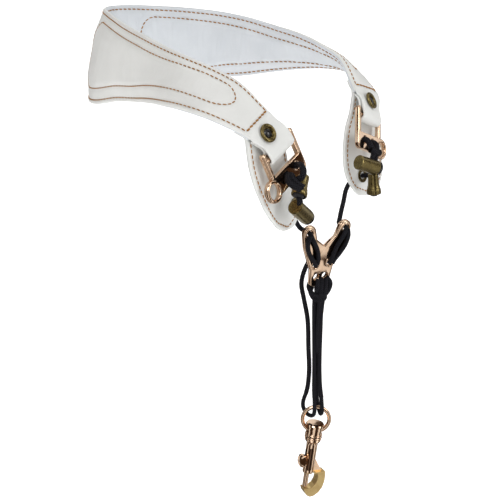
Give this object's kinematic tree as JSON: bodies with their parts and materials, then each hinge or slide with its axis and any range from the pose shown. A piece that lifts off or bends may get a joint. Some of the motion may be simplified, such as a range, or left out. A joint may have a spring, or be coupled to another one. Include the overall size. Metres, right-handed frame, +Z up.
{
  "type": "saxophone neck strap",
  "caption": "Padded leather neck strap for a saxophone, with buckle plates, toggled cord, a sliding adjuster plate and a spring snap hook.",
  "frame": {"origin": "inner face of the collar at the nape, at mid width", "axes": "+X forward to the wearer's chest, +Y to the wearer's left, +Z up; the neck axis is near +Z"},
  "size_m": [0.164, 0.149, 0.2651],
  "materials": {
    "outer_leather": "fine-grained white leather with a soft sheen, tan stitching",
    "lining_leather": "smooth bluish-white lining leather, softly padded",
    "foam": "open-cell padding foam, hidden",
    "rose_gold": "polished rose-gold plated zinc",
    "antique_brass": "antique brass with darkened recesses",
    "black_gloss": "glossy black",
    "braided_cord": "round black braid with a fine weave",
    "spring_steel": "bright spring wire"
  },
  "bodies": {
    "strap": {"outer_leather": "outer_leather", "foam_core": "foam", "lining_leather": "lining_leather", "tab_loop_right": "outer_leather", "tongue_right": "outer_leather", "rivet_rim_right": "antique_brass", "rivet_cap_right": "black_gloss", "rivet_washer_right": "antique_brass", "tongue_grommet_right": "antique_brass", "side_cord_right": "braided_cord", "tab_loop_left": "outer_leather", "tongue_left": "outer_leather", "rivet_rim_left": "antique_brass", "rivet_cap_left": "black_gloss", "rivet_washer_left": "antique_brass", "tongue_grommet_left": "antique_brass", "side_cord_left": "braided_cord"},
    "buckle_right": {"side_plate_right": "rose_gold", "plate_cord_right": "braided_cord", "toggle_barrel_right": "antique_brass", "toggle_cap_right": "black_gloss", "cord_bell_right": "antique_brass", "cord_knot_right": "braided_cord"},
    "buckle_left": {"side_plate_left": "rose_gold", "plate_cord_left": "braided_cord", "toggle_barrel_left": "antique_brass", "toggle_cap_left": "black_gloss", "cord_bell_left": "antique_brass", "cord_knot_left": "braided_cord"},
    "adjuster": {"adjuster_plate": "rose_gold", "wing_cord_right": "braided_cord", "wing_cord_left": "braided_cord", "hanging_cords": "braided_cord"},
    "bights": {"cord_bights": "braided_cord"},
    "ring": {"hook_ring": "rose_gold"},
    "swivel": {"swivel_eye": "rose_gold", "swivel_head": "rose_gold"},
    "hook": {"hook_body": "rose_gold", "plunger_spring": "spring_steel"},
    "plunger": {"plunger_rod": "rose_gold", "thumb_knob": "rose_gold"}
  },
  "joints": [
    {"name": "buckle_right_swing", "type": "hinge", "parent": "strap", "child": "buckle_right", "pos_m": [0.13963, -0.04499, -0.02864], "axis": [0, -0.9336, -0.3584], "range_deg": [0, 15]},
    {"name": "buckle_left_swing", "type": "hinge", "parent": "strap", "child": "buckle_left", "pos_m": [0.13963, 0.04499, -0.02864], "axis": [0, -0.9336, 0.3584], "range_deg": [0, 15]},
    {"name": "adjuster_slide", "type": "slide", "parent": "strap", "child": "adjuster", "axis": [0, 0, 1], "range_m": [-0.04, 0.015], "deforming": ["side_cord_right", "side_cord_left"]},
    {"name": "bight_slide", "type": "slide", "parent": "adjuster", "child": "bights", "axis": [0, 0, 1], "range_m": [-0.0075, 0.02], "deforming": ["hanging_cords"]},
    {"name": "ring_swing", "type": "hinge", "parent": "bights", "child": "ring", "pos_m": [0.137, 0, -0.183], "axis": [0.829, 0.5592, 0], "range_deg": [-18, 10]},
    {"name": "hook_swing", "type": "hinge", "parent": "ring", "child": "swivel", "pos_m": [0.13625, -0.0005, -0.19774], "axis": [0.829, 0.5592, 0], "range_deg": [-20, 20]},
    {"name": "hook_turn", "type": "hinge", "parent": "swivel", "child": "hook", "pos_m": [0.13625, -0.0005, -0.19774], "axis": [0.101, 0.0681, 0.9925], "continuous": true},
    {"name": "plunger_slide", "type": "slide", "parent": "hook", "child": "plunger", "axis": [0.101, 0.0681, 0.9925], "range_m": [0, 0.0055], "stiffness_N_per_m": 300, "springref_m": -0.01, "deforming": ["plunger_spring"]}
  ],
  "couplings": [
    {"joint": "bight_slide", "follows": "adjuster_slide", "ratio": -0.5}
  ]
}
